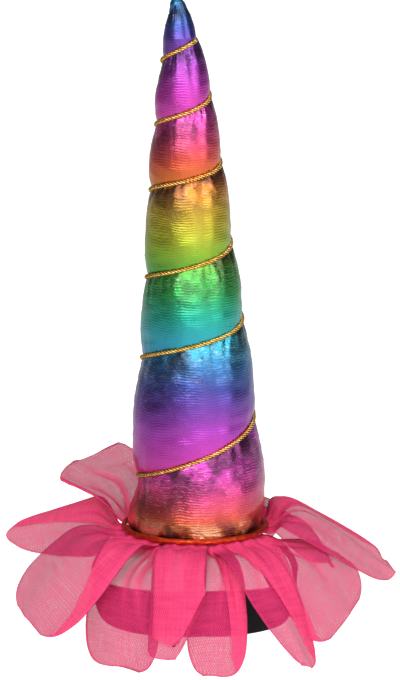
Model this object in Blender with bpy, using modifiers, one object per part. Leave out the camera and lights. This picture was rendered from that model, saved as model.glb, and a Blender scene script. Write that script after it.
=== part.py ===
"""A unicorn horn headband, as separate named solids, in metres with +Z up and its front towards -Y.

A stuffed lame horn, wound with a gold cord and closed by a rolled hem, stands on a felt pad.
Two layers of sheer petals are held between them, and a wide elastic loop runs flat under the pad,
turns on edge at both sides and meets in front. The origin is the middle of the underside of that
loop, where the headband sits on the head.
"""

import math

import bmesh
import bpy
from mathutils import Vector

MM = 0.001
UP = Vector((0.0, 0.0, 1.0))
FRONT = Vector((0.0, -1.0, 0.0))

# Clearance between two pieces that lie on each other
SEAT_GAP = 0.3 * MM

# The elastic band
BAND_WIDTH = 30.0 * MM
BAND_THICKNESS = 1.5 * MM
BAND_HALF_SPAN = 50.0 * MM
BAND_REACH = 47.0 * MM
BAND_DROP = 25.5 * MM
BAND_STEPS = 72

# The felt pad under the horn
PAD_RADIUS = 33.0 * MM
PAD_THICKNESS = 3.0 * MM
PAD_EDGE_ROUNDING = 0.6 * MM

# The horn, its lean to the left and its rolled hem
HORN_HEIGHT = 269.5 * MM
HORN_BASE_RADIUS = 34.0 * MM
HORN_LEAN = 9.0 * MM
HORN_COLUMNS = 24
HEM_RADIUS = 1.5 * MM

# The gold cord and the groove that it pulls into the horn
CORD_RADIUS = 1.1 * MM
GROOVE_DEPTH = 3.0 * MM
CORD_START_TURN = -0.25
CORD_END_TURN = 5.42

# The petals
PETAL_THICKNESS = 1.0 * MM
PETAL_ROOT_RADIUS = 22.0 * MM
PETAL_REACH = 60.0 * MM
PETAL_DROP = 60.0 * MM
PETAL_WIDTH = 38.0 * MM
PETAL_STEPS_ACROSS = 6
BAND_CLEARANCE = 3.2 * MM

# Stack heights, from the head upwards
PAD_BOTTOM = BAND_THICKNESS + SEAT_GAP
PAD_TOP = PAD_BOTTOM + PAD_THICKNESS
LOWER_ROOT = PAD_TOP + SEAT_GAP + PETAL_THICKNESS / 2
UPPER_ROOT = LOWER_ROOT + PETAL_THICKNESS + SEAT_GAP
HORN_BOTTOM = UPPER_ROOT + PETAL_THICKNESS / 2 + SEAT_GAP
HEM_CENTRE_RADIUS = HORN_BASE_RADIUS + SEAT_GAP + HEM_RADIUS
HEM_OUTER_RADIUS = HEM_CENTRE_RADIUS + HEM_RADIUS

# Height as a share of HORN_HEIGHT, radius of HORN_BASE_RADIUS and lean of HORN_LEAN
HORN_PROFILE = (
    # height, radius, lean
    (0.000, 0.985, 0.00),
    (0.012, 0.995, -0.02),
    (0.030, 1.035, -0.07),
    (0.060, 0.985, -0.21),
    (0.090, 0.960, -0.29),
    (0.115, 0.968, -0.22),
    (0.147, 0.962, -0.12),
    (0.184, 0.948, -0.07),
    (0.217, 0.922, 0.00),
    (0.245, 0.907, 0.00),
    (0.290, 0.864, 0.00),
    (0.343, 0.820, 0.00),
    (0.404, 0.772, 0.09),
    (0.505, 0.690, 0.24),
    (0.606, 0.622, 0.38),
    (0.706, 0.542, 0.47),
    (0.807, 0.436, 0.55),
    (0.868, 0.352, 0.64),
    (0.929, 0.255, 0.76),
    (0.966, 0.180, 0.87),
    (0.987, 0.120, 0.95),
    (1.000, 0.045, 1.00),
)

# Where the cord passes the left and the right of the horn by turns, as shares of HORN_HEIGHT
CORD_HEIGHTS = (
    # left, right
    (0.102, 0.218),
    (0.326, 0.402),
    (0.478, 0.545),
    (0.642, 0.694),
    (0.764, 0.819),
    (0.883, 0.926),
)

# Places across one puff of the horn, as shares of a turn from the cord
PUFF_PHASES = (0.0, 0.06, 0.20, 0.40, 0.62, 0.82, 0.94)

# Right half of the band's centre line, from the middle of its seat round to the front.
# side is a share of BAND_HALF_SPAN, front of BAND_REACH and fall, below the seat, of BAND_DROP.
# turn is the angle of its width in degrees, from level to on edge.
BAND_COURSE = (
    # side, front, fall, turn
    (0.00, 0.00, 0.00, 0.0),
    (0.30, 0.00, 0.00, 0.0),
    (0.60, 0.00, 0.01, 0.0),
    (0.82, 0.02, 0.10, 3.0),
    (0.96, 0.12, 0.34, 14.0),
    (1.00, 0.35, 0.70, 32.0),
    (0.92, 0.62, 0.92, 48.0),
    (0.72, 0.83, 0.98, 56.0),
    (0.46, 0.95, 1.00, 60.0),
    (0.22, 0.99, 1.00, 62.0),
    (0.00, 1.00, 1.00, 62.0),
)

# Places along a petal, closer together where its end rounds off
PETAL_STATIONS = (0.0, 0.16, 0.33, 0.44, 0.55, 0.66, 0.77, 0.87, 0.94, 0.98, 1.0)

# One row a petal. azimuth is in degrees from the front, to the right, and gather is half the
# angle that its gathered root fills, in degrees. hump is the height of the shoulder above the
# root and drop that of the tip below it, as shares of PETAL_DROP; out is the tip's place as a
# share of PETAL_REACH beyond the hem; width is a share of PETAL_WIDTH; arch is how far the sides
# hang, as a share of the half width; roll and sway are in degrees, the roll complete at the share
# of the length in rolled_by; and point runs from 0, a round end, to 1, a pointed one.
PETALS = (
    # layer, azimuth, gather, hump, drop, out, width, arch, roll, rolled_by, sway, point
    ("upper", -130.0, 20.0, 0.29, -0.41, 0.66, 1.24, 0.00, 16.0, 0.95, 0.0, -0.4),
    ("upper", -54.0, 25.0, 0.02, 0.56, 0.98, 1.28, 0.15, 23.0, 0.95, -8.0, -0.1),
    ("upper", -8.0, 18.0, -0.06, 0.76, 0.72, 0.72, 0.05, -2.0, 0.95, 1.0, -0.5),
    ("upper", 32.0, 21.0, -0.15, 0.90, 0.84, 0.78, 0.10, 0.0, 0.95, 9.0, 0.3),
    ("upper", 98.0, 20.0, 0.12, 0.38, 1.06, 1.50, 0.15, -20.0, 0.95, -8.0, 0.6),
    ("upper", 158.0, 22.0, 0.10, 0.35, 0.75, 1.15, 0.25, 0.0, 0.95, 0.0, 0.2),
    ("lower", -94.0, 16.0, 0.03, 0.05, 0.98, 1.06, 0.10, 32.0, 0.66, 0.0, 0.7),
    ("lower", -34.5, 20.0, -0.25, 0.90, 0.55, 1.16, 0.20, 6.0, 0.95, 1.0, -0.05),
    ("lower", 10.5, 20.0, -0.22, 0.95, 0.50, 0.80, 0.15, 0.0, 0.95, -1.0, -0.05),
    ("lower", 61.0, 18.0, -0.20, 0.56, 0.80, 1.40, 0.05, -28.0, 0.95, 4.0, -0.15),
    ("lower", 128.0, 21.0, 0.04, 0.50, 0.80, 1.15, 0.25, 0.0, 0.95, 0.0, 0.2),
    ("lower", -170.0, 20.0, 0.04, 0.45, 0.70, 1.15, 0.25, 0.0, 0.95, 0.0, 0.2),
)

PINK = (0.96, 0.09, 0.32, 1.0)
BLACK = (0.012, 0.011, 0.012, 1.0)
GOLD = (0.85, 0.52, 0.12, 1.0)
HEM_ORANGE = (0.80, 0.16, 0.05, 1.0)
HORN_MAGENTA = (0.62, 0.10, 0.55, 1.0)


def clear_scene():
    for obj in list(bpy.data.objects):
        bpy.data.objects.remove(obj, do_unlink=True)


def smooth_read(values, place):
    """The value at place along evenly spaced values, on a Catmull-Rom curve run on past its ends."""
    last = len(values) - 1
    cell = min(max(math.floor(place), 0), last - 1)
    share = place - cell
    before, here, there, after = (values[min(max(cell + k, 0), last)] for k in (-1, 0, 1, 2))
    if share < 0.0 or share > 1.0:
        return here + (there - here) * share
    return 0.5 * (
        2 * here
        + (there - before) * share
        + (2 * before - 5 * here + 4 * there - after) * share**2
        + (3 * here - before - 3 * there + after) * share**3
    )


def table_read(rows, place, column):
    """This column of rows at place in the first one, joined by straight lines."""
    for low, high in zip(rows, rows[1:]):
        if place <= high[0]:
            share = (place - low[0]) / (high[0] - low[0])
            return low[column] + (high[column] - low[column]) * share
    return rows[-1][column]


def smooth_step(low, high, value):
    share = min(max((value - low) / (high - low), 0.0), 1.0)
    return share * share * (3.0 - 2.0 * share)


def on_circle(azimuth, radius, height):
    """A point at an azimuth in radians from the front, turning to the right."""
    return Vector((radius * math.sin(azimuth), -radius * math.cos(azimuth), height))


def material(name, colour, roughness, metallic=0.0):
    made = bpy.data.materials.new(name)
    made.use_nodes = True
    shader = made.node_tree.nodes["Principled BSDF"]
    shader.inputs["Base Color"].default_value = colour
    shader.inputs["Roughness"].default_value = roughness
    shader.inputs["Metallic"].default_value = metallic
    return made


def object_from(name, data, finish, collection):
    obj = bpy.data.objects.new(name, data)
    obj.data.materials.append(finish)
    collection.objects.link(obj)
    return obj


def mesh_from(name, mesh_builder):
    data = bpy.data.meshes.new(name)
    bmesh.ops.recalc_face_normals(mesh_builder, faces=mesh_builder.faces)
    mesh_builder.to_mesh(data)
    mesh_builder.free()
    data.shade_smooth()
    data.set_sharp_from_angle(angle=math.radians(50))
    return data


def add_thickness(obj, thickness):
    wall = obj.modifiers.new("Thickness", "SOLIDIFY")
    wall.thickness = thickness
    wall.offset = 0.0
    wall.use_even_offset = True


def cord_height(turn):
    """The cord's height above the horn's bottom after this many turns, counted from the left."""
    heights = [height for pair in CORD_HEIGHTS for height in pair]
    return smooth_read(heights, 2.0 * turn) * HORN_HEIGHT


def horn_axis(height):
    """The middle of the horn at this height above its bottom."""
    lean = table_read(HORN_PROFILE, max(height, 0.0) / HORN_HEIGHT, 2) * HORN_LEAN
    return Vector((-lean, 0.0, HORN_BOTTOM + height))


def horn_radius(height, phase):
    """The horn's radius. phase is the place between two turns of the cord, 0 at the cord."""
    full = table_read(HORN_PROFILE, height / HORN_HEIGHT, 1) * HORN_BASE_RADIUS
    puff = math.sin(math.pi * phase) ** 0.5
    depth = min(GROOVE_DEPTH, 0.2 * full)
    return full - depth * (1.0 - puff)


def horn_point(turn, radius, height):
    azimuth = 2.0 * math.pi * turn - math.pi / 2
    return horn_axis(height) + on_circle(azimuth, radius, 0.0)


def build_horn(collection):
    """A tapered skin whose rows follow the cord, so that its groove is an edge of the mesh.
    Rows that the spiral takes past either end fold into the rim there, and flat faces close both."""
    builder = bmesh.new()
    rows_per_turn = len(PUFF_PHASES)
    turns = range(-3, len(CORD_HEIGHTS) + 4)
    rows = []
    for turn in turns:
        for phase in PUFF_PHASES:
            row = []
            for column in range(HORN_COLUMNS):
                around = column / HORN_COLUMNS
                height = min(max(cord_height(turn + phase + around), 0.0), HORN_HEIGHT)
                radius = horn_radius(height, phase)
                row.append(builder.verts.new(horn_point(around, radius, height)))
            rows.append(row)
    for index in range(len(rows) - 1 - rows_per_turn):
        for column in range(HORN_COLUMNS):
            wraps = column + 1 == HORN_COLUMNS
            beside = index + rows_per_turn if wraps else index
            following = 0 if wraps else column + 1
            builder.faces.new(
                (
                    rows[index][column],
                    rows[beside][following],
                    rows[beside + 1][following],
                    rows[index + 1][column],
                )
            )
    seal_horn_end(builder, 0.0)
    seal_horn_end(builder, HORN_HEIGHT)
    return object_from(
        "horn", mesh_from("horn", builder), material("horn lame", HORN_MAGENTA, 0.3, 0.8), collection
    )


def seal_horn_end(builder, height):
    """Draws every vertex at this end onto one rim and closes the rim with a face."""
    level = HORN_BOTTOM + height
    radius = horn_radius(height, 0.5)
    middle = horn_axis(height)
    at_end = [v for v in builder.verts if abs(v.co.z - level) < 1e-6]
    for vertex in at_end:
        outward = vertex.co - middle
        vertex.co = middle + outward.normalized() * radius
    bmesh.ops.remove_doubles(builder, verts=at_end, dist=1e-5)
    bmesh.ops.dissolve_degenerate(builder, dist=1e-6, edges=builder.edges)
    loose = [v for v in builder.verts if not v.link_faces]
    bmesh.ops.delete(builder, geom=loose, context="VERTS")
    rim = [e for e in builder.edges if e.is_boundary and abs(e.verts[0].co.z - level) < 1e-6]
    bmesh.ops.holes_fill(builder, edges=rim, sides=0)


def build_hem_roll(collection):
    bpy.ops.mesh.primitive_torus_add(
        major_radius=HEM_CENTRE_RADIUS,
        minor_radius=HEM_RADIUS,
        major_segments=36,
        minor_segments=6,
        location=(0.0, 0.0, HORN_BOTTOM + HEM_RADIUS),
    )
    made = bpy.context.object
    made.name = "hem_roll"
    made.data.shade_smooth()
    made.data.materials.append(material("hem orange", HEM_ORANGE, 0.35, 0.6))
    for holder in list(made.users_collection):
        holder.objects.unlink(made)
    collection.objects.link(made)
    return made


def build_spiral_cord(collection):
    """One gold cord laid in the groove from above the hem to just under the tip."""
    data = bpy.data.curves.new("spiral_cord", "CURVE")
    data.dimensions = "3D"
    data.bevel_depth = CORD_RADIUS
    data.bevel_resolution = 2
    data.use_fill_caps = True
    first = math.ceil(CORD_START_TURN * HORN_COLUMNS)
    last = math.floor(CORD_END_TURN * HORN_COLUMNS)
    spline = data.splines.new("POLY")
    spline.points.add(last - first)
    for place, column in enumerate(range(first, last + 1)):
        turn = column / HORN_COLUMNS
        height = cord_height(turn)
        radius = horn_radius(height, 0.0) + CORD_RADIUS + 2.0 * SEAT_GAP
        spline.points[place].co = (*horn_point(turn, radius, height), 1.0)
    return object_from("spiral_cord", data, material("gold cord", GOLD, 0.3, 0.9), collection)


def build_base_pad(collection):
    builder = bmesh.new()
    bmesh.ops.create_cone(
        builder,
        cap_ends=True,
        segments=36,
        radius1=PAD_RADIUS,
        radius2=PAD_RADIUS,
        depth=PAD_THICKNESS,
    )
    made = object_from(
        "base_pad", mesh_from("base_pad", builder), material("pad felt", BLACK, 0.95), collection
    )
    made.location = (0.0, 0.0, PAD_BOTTOM + PAD_THICKNESS / 2)
    rounding = made.modifiers.new("Rounding", "BEVEL")
    rounding.width = PAD_EDGE_ROUNDING
    rounding.segments = 2
    rounding.limit_method = "ANGLE"
    return made


def band_centre(place):
    """The band's centre line and its turn, at a place from -1 to 1 round from the seat."""
    along = abs(place) * (len(BAND_COURSE) - 1)
    side, front, fall, turn = (smooth_read(column, along) for column in zip(*BAND_COURSE))
    side = math.copysign(side * BAND_HALF_SPAN, place)
    height = BAND_THICKNESS / 2 - max(fall, 0.0) * BAND_DROP
    return Vector((side, -front * BAND_REACH, height)), math.radians(turn)


def band_sides(place):
    """The upper and the lower edge of the band's middle surface at this place."""
    centre, turn = band_centre(place)
    step = 1.0 / BAND_STEPS
    ahead = band_centre(min(place + step, 1.0))[0] - band_centre(max(place - step, -1.0))[0]
    if 1.0 - abs(place) < step:
        ahead = Vector((-1.0, 0.0, 0.0))
    ahead.normalize()
    across = FRONT * math.cos(turn) + UP * math.sin(turn)
    across -= ahead * across.dot(ahead)
    half = across.normalized() * BAND_WIDTH / 2
    return centre + half, centre - half


def build_headband(collection):
    builder = bmesh.new()
    pairs = []
    for index in range(BAND_STEPS):
        place = 2.0 * index / BAND_STEPS - 1.0
        upper, lower = band_sides(place)
        pairs.append([builder.verts.new(upper), builder.verts.new(lower)])
    for here, there in zip(pairs, pairs[1:] + pairs[:1]):
        builder.faces.new((here[0], here[1], there[1], there[0]))
    made = object_from(
        "headband", mesh_from("headband", builder), material("elastic", BLACK, 0.8), collection
    )
    add_thickness(made, BAND_THICKNESS)
    return made


def band_under(azimuth):
    """The radius and height of the band's upper edge in this direction, or of the pad's rim behind."""
    found = (PAD_RADIUS, PAD_TOP)
    least = math.radians(12)
    for index in range(BAND_STEPS // 2, BAND_STEPS + 1):
        edge = band_sides(index / BAND_STEPS)[0]
        apart = abs(abs(azimuth) - math.atan2(edge.x, -edge.y))
        if apart < least:
            least = apart
            found = (math.hypot(edge.x, edge.y), edge.z)
    return found


def petal_half_width(along, root, row_width, point):
    """Half the petal's width: a fan at the root, fullest past the middle, closing at the tip."""
    full = row_width * PETAL_WIDTH / 2
    width = root + (full - root) * smooth_step(0.3, 0.7, along)
    closing = 0.78 - 0.3 * point
    if along > closing:
        past = (along - closing) / (1.0 - closing)
        width *= (1.0 - past ** (2.2 - 1.0 * point)) ** (0.5 + 0.35 * point)
    return width


def petal_points(row):
    """The rows of points of one petal's middle surface, from its root under the horn to its tip."""
    layer, azimuth, gather, hump, drop, out, width, arch, roll, rolled_by, sway, point = row
    azimuth = math.radians(azimuth)
    root = UPPER_ROOT if layer == "upper" else LOWER_ROOT
    lift = PETAL_THICKNESS * 2.5 if layer == "upper" else 0.0
    under_radius, under_height = band_under(azimuth)
    shoulder_height = max(root + hump * PETAL_DROP, under_height + BAND_CLEARANCE + lift)
    tip_radius = HEM_OUTER_RADIUS + out * PETAL_REACH
    radii = (
        PETAL_ROOT_RADIUS,
        HEM_OUTER_RADIUS,
        max(under_radius + BAND_CLEARANCE, HEM_OUTER_RADIUS + 0.3 * PETAL_REACH),
        tip_radius,
    )
    heights = (root, root, shoulder_height, root - drop * PETAL_DROP)
    points = []
    for along in PETAL_STATIONS:
        radius = smooth_read(radii, 3.0 * along)
        height = smooth_read(heights, 3.0 * along) if along > 1 / 3 else root
        fan = math.radians(gather) * min(radius, HEM_OUTER_RADIUS)
        half = petal_half_width(along, fan, width, point)
        free = smooth_step(0.45, 1.0, along)
        rolled = math.tan(math.radians(roll) * smooth_step(0.42, rolled_by, along))
        line = []
        for side in range(PETAL_STEPS_ACROSS + 1):
            across = 2.0 * side / PETAL_STEPS_ACROSS - 1.0
            turned = azimuth + math.radians(sway) * free**2 + across * half / radius
            fall = half * (free * arch * across**2 + rolled * across)
            line.append(on_circle(turned, radius, height - fall))
        points.append(line)
    return points


def build_petal(name, row, finish, collection):
    builder = bmesh.new()
    lines = [[builder.verts.new(point) for point in line] for line in petal_points(row)]
    for here, there in zip(lines, lines[1:]):
        for side in range(PETAL_STEPS_ACROSS):
            builder.faces.new((here[side], here[side + 1], there[side + 1], there[side]))
    bmesh.ops.remove_doubles(builder, verts=builder.verts, dist=1e-5)
    made = object_from(name, mesh_from(name, builder), finish, collection)
    add_thickness(made, PETAL_THICKNESS)
    return made


def build_petals(collection):
    finish = material("petal chiffon", PINK, 0.7)
    counts = {"upper": 0, "lower": 0}
    for row in PETALS:
        layer = row[0]
        counts[layer] += 1
        build_petal(f"petal_{layer}_{counts[layer]}", row, finish, collection)


def build():
    clear_scene()
    collection = bpy.data.collections.new("unicorn_horn_headband")
    bpy.context.scene.collection.children.link(collection)
    build_headband(collection)
    build_base_pad(collection)
    build_petals(collection)
    build_horn(collection)
    build_hem_roll(collection)
    build_spiral_cord(collection)


build()
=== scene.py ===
"""The looks of a unicorn horn headband: foil horn, gold cord, sheer petals and black elastic."""

import math

import bmesh
import bpy
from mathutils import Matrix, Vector, noise


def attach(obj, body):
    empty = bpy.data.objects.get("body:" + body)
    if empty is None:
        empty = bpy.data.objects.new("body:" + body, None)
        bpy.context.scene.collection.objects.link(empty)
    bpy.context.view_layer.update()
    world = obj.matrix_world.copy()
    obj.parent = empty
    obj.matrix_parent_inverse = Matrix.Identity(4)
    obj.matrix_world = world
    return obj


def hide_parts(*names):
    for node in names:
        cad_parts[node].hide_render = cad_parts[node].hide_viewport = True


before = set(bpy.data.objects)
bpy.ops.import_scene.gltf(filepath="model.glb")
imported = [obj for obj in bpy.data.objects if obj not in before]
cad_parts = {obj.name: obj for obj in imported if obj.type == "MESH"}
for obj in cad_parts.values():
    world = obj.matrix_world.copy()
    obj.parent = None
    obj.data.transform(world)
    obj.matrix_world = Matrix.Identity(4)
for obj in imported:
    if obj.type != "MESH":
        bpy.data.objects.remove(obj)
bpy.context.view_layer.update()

MM = 0.001
UP = Vector((0.0, 0.0, 1.0))
FRONT = Vector((0.0, -1.0, 0.0))
BODY = "root"

# Sizes that the part's source gives, and the thickness of the sheer cloth itself
SEAT_GAP = 0.3 * MM
BAND_WIDTH = 30.0 * MM
BAND_THICKNESS = 1.5 * MM
BAND_HALF_SPAN = 50.0 * MM
BAND_REACH = 47.0 * MM
BAND_DROP = 25.5 * MM
PAD_RADIUS = 33.0 * MM
PAD_TOP = 4.8 * MM
HORN_BOTTOM = 7.7 * MM
HORN_HEIGHT = 269.5 * MM
HORN_BASE_RADIUS = 34.0 * MM
HORN_LEAN = 9.0 * MM
HEM_RADIUS = 1.5 * MM
HEM_CENTRE_RADIUS = HORN_BASE_RADIUS + SEAT_GAP + HEM_RADIUS
HEM_OUTER_RADIUS = HEM_CENTRE_RADIUS + HEM_RADIUS
CORD_RADIUS = 1.1 * MM
GROOVE_DEPTH = 3.0 * MM
CORD_START_TURN = -0.25
CORD_END_TURN = 5.42
ROOT_HEIGHTS = {"lower": 5.6 * MM, "upper": 6.9 * MM}
PETAL_ROOT_RADIUS = 22.0 * MM
PETAL_REACH = 60.0 * MM
PETAL_DROP = 60.0 * MM
PETAL_WIDTH = 38.0 * MM
PETAL_THICKNESS = 1.0 * MM
CHIFFON_THICKNESS = 0.25 * MM
BAND_CLEARANCE = 3.2 * MM

# How much wider a petal is cut than it lies with its pleats in
PLEAT_FULLNESS = 1.05

# Height as a share of HORN_HEIGHT, radius of HORN_BASE_RADIUS and lean of HORN_LEAN
HORN_PROFILE = (
    # height, radius, lean
    (0.000, 0.985, 0.00),
    (0.012, 0.995, -0.02),
    (0.030, 1.035, -0.07),
    (0.060, 0.985, -0.21),
    (0.090, 0.960, -0.29),
    (0.115, 0.968, -0.22),
    (0.147, 0.962, -0.12),
    (0.184, 0.948, -0.07),
    (0.217, 0.922, 0.00),
    (0.245, 0.907, 0.00),
    (0.290, 0.864, 0.00),
    (0.343, 0.820, 0.00),
    (0.404, 0.772, 0.09),
    (0.505, 0.690, 0.24),
    (0.606, 0.622, 0.38),
    (0.706, 0.542, 0.47),
    (0.807, 0.436, 0.55),
    (0.868, 0.352, 0.64),
    (0.929, 0.255, 0.76),
    (0.966, 0.180, 0.87),
    (0.987, 0.120, 0.95),
    (1.000, 0.045, 1.00),
)

# Where the cord passes the left and the right of the horn by turns, as shares of HORN_HEIGHT
CORD_HEIGHTS = (
    # left, right
    (0.102, 0.218),
    (0.326, 0.402),
    (0.478, 0.545),
    (0.642, 0.694),
    (0.764, 0.819),
    (0.883, 0.926),
)

# Right half of the band's centre line: shares of BAND_HALF_SPAN, BAND_REACH and BAND_DROP, and
# the angle of its width in degrees
BAND_COURSE = (
    # side, front, fall, turn
    (0.00, 0.00, 0.00, 0.0),
    (0.30, 0.00, 0.00, 0.0),
    (0.60, 0.00, 0.01, 0.0),
    (0.82, 0.02, 0.10, 3.0),
    (0.96, 0.12, 0.34, 14.0),
    (1.00, 0.35, 0.70, 32.0),
    (0.92, 0.62, 0.92, 48.0),
    (0.72, 0.83, 0.98, 56.0),
    (0.46, 0.95, 1.00, 60.0),
    (0.22, 0.99, 1.00, 62.0),
    (0.00, 1.00, 1.00, 62.0),
)

# One row a petal, with its form as the part's source gives it. A tip is round at point 0, pointed
# above it and square below it.
PETALS = (
    # node, azimuth, gather, hump, drop, out, width, arch, roll, rolled_by, sway, point
    ("petal_upper_1", -130.0, 20.0, 0.29, -0.41, 0.66, 1.24, 0.00, 16.0, 0.95, 0.0, -0.4),
    ("petal_upper_2", -54.0, 25.0, 0.02, 0.56, 0.98, 1.28, 0.15, 23.0, 0.95, -8.0, -0.1),
    ("petal_upper_3", -8.0, 18.0, -0.06, 0.76, 0.72, 0.72, 0.05, -2.0, 0.95, 1.0, -0.5),
    ("petal_upper_4", 32.0, 21.0, -0.15, 0.90, 0.84, 0.78, 0.10, 0.0, 0.95, 9.0, 0.3),
    ("petal_upper_5", 98.0, 20.0, 0.12, 0.38, 1.06, 1.50, 0.15, -20.0, 0.95, -8.0, 0.6),
    ("petal_upper_6", 158.0, 22.0, 0.10, 0.35, 0.75, 1.15, 0.25, 0.0, 0.95, 0.0, 0.2),
    ("petal_lower_1", -94.0, 16.0, 0.03, 0.05, 0.98, 1.06, 0.10, 32.0, 0.66, 0.0, 0.7),
    ("petal_lower_2", -34.5, 20.0, -0.25, 0.90, 0.55, 1.16, 0.20, 6.0, 0.95, 1.0, -0.05),
    ("petal_lower_3", 10.5, 20.0, -0.22, 0.95, 0.50, 0.80, 0.15, 0.0, 0.95, -1.0, -0.05),
    ("petal_lower_4", 61.0, 18.0, -0.20, 0.56, 0.80, 1.40, 0.05, -28.0, 0.95, 4.0, -0.15),
    ("petal_lower_5", 128.0, 21.0, 0.04, 0.50, 0.80, 1.15, 0.25, 0.0, 0.95, 0.0, 0.2),
    ("petal_lower_6", -170.0, 20.0, 0.04, 0.45, 0.70, 1.15, 0.25, 0.0, 0.95, 0.0, 0.2),
)

# How each petal is doubled: the side that is folded over, 1 for the side of growing azimuth, and
# the folded share of the half width at its root, middle and tip. slant is how much shorter the
# side of growing azimuth is, ruffle how far its free end waves, in millimetres, and waves how many
# waves it has.
PETAL_FOLDS = {
    # node: side, root, middle, tip, slant, ruffle, waves
    "petal_upper_1": (1, 0.30, 0.14, 0.10, -0.06, 1.4, 1.5),
    "petal_upper_2": (1, 1.90, 0.95, 0.05, 0.02, 1.6, 2.0),
    "petal_upper_3": (1, 1.96, 1.94, 1.80, 0.22, 1.4, 2.5),
    "petal_upper_4": (1, 1.90, 1.40, 0.60, -0.03, 1.2, 2.0),
    "petal_upper_5": (1, 1.70, 1.00, 0.20, 0.04, 1.4, 2.0),
    "petal_upper_6": (1, 1.20, 0.40, 0.10, 0.03, 1.8, 2.0),
    "petal_lower_1": (-1, 1.60, 1.10, 0.70, 0.00, 1.2, 2.0),
    "petal_lower_2": (-1, 1.20, 0.20, 0.04, 0.03, 1.8, 1.5),
    "petal_lower_3": (1, 1.60, 0.90, 0.40, -0.02, 1.2, 1.5),
    "petal_lower_4": (-1, 1.80, 0.90, 0.05, -0.03, 1.8, 2.0),
    "petal_lower_5": (-1, 1.20, 0.40, 0.10, -0.04, 1.8, 2.0),
    "petal_lower_6": (1, 1.20, 0.40, 0.10, 0.04, 1.8, 2.0),
}

# One repeat of the rainbow print, upwards from the hem
RAINBOW_REPEAT = 179.0 * MM
RAINBOW_START = 7.0 * MM
RAINBOW = (
    # place in the repeat, linear colour
    (0.00, (0.68, 0.13, 0.04)),
    (0.03, (0.70, 0.09, 0.06)),
    (0.09, (0.66, 0.06, 0.20)),
    (0.15, (0.62, 0.06, 0.40)),
    (0.21, (0.56, 0.05, 0.44)),
    (0.27, (0.40, 0.05, 0.46)),
    (0.33, (0.18, 0.05, 0.37)),
    (0.39, (0.06, 0.07, 0.34)),
    (0.45, (0.04, 0.18, 0.42)),
    (0.52, (0.03, 0.36, 0.48)),
    (0.59, (0.02, 0.40, 0.29)),
    (0.65, (0.03, 0.35, 0.09)),
    (0.71, (0.08, 0.36, 0.05)),
    (0.77, (0.26, 0.45, 0.03)),
    (0.83, (0.43, 0.42, 0.03)),
    (0.89, (0.56, 0.36, 0.03)),
    (0.95, (0.62, 0.20, 0.03)),
)


# Shared arithmetic


def smooth_read(values, place):
    """The value at place along evenly spaced values, on a Catmull-Rom curve run on past its ends."""
    last = len(values) - 1
    cell = min(max(math.floor(place), 0), last - 1)
    share = place - cell
    before, here, there, after = (values[min(max(cell + k, 0), last)] for k in (-1, 0, 1, 2))
    if share < 0.0 or share > 1.0:
        return here + (there - here) * share
    return 0.5 * (
        2 * here
        + (there - before) * share
        + (2 * before - 5 * here + 4 * there - after) * share**2
        + (3 * here - before - 3 * there + after) * share**3
    )


def table_read(rows, place, column):
    for low, high in zip(rows, rows[1:]):
        if place <= high[0]:
            share = (place - low[0]) / (high[0] - low[0])
            return low[column] + (high[column] - low[column]) * share
    return rows[-1][column]


def smooth_step(low, high, value):
    share = min(max((value - low) / (high - low), 0.0), 1.0)
    return share * share * (3.0 - 2.0 * share)


def on_circle(azimuth, radius, height):
    """A point at an azimuth in radians from the front, turning to the right."""
    return Vector((radius * math.sin(azimuth), -radius * math.cos(azimuth), height))


def put_in_scene(name, data):
    piece = bpy.data.objects.new(name, data)
    bpy.context.scene.collection.objects.link(piece)
    return piece


def mesh_piece(name, vertices, faces, material, uvs=None):
    """A smooth mesh object. uvs has one pair for each vertex."""
    data = bpy.data.meshes.new(name)
    data.from_pydata([tuple(v) for v in vertices], [], faces)
    if uvs:
        layer = data.uv_layers.new(name="cloth")
        for loop in data.loops:
            layer.data[loop.index].uv = uvs[loop.vertex_index]
    data.materials.append(material)
    data.shade_smooth()
    data.update()
    return put_in_scene(name, data)


def store(piece, name, values):
    """Keeps one number for each vertex, for the materials to read."""
    layer = piece.data.attributes.new(name, "FLOAT", "POINT")
    layer.data.foreach_set("value", values)


def grid_faces(rows, columns):
    """Quads between rows of vertices that are stored one row after another."""
    faces = []
    for row in range(rows - 1):
        low = row * columns
        high = low + columns
        for column in range(columns - 1):
            faces.append((low + column, low + column + 1, high + column + 1, high + column))
    return faces


# Materials


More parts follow.
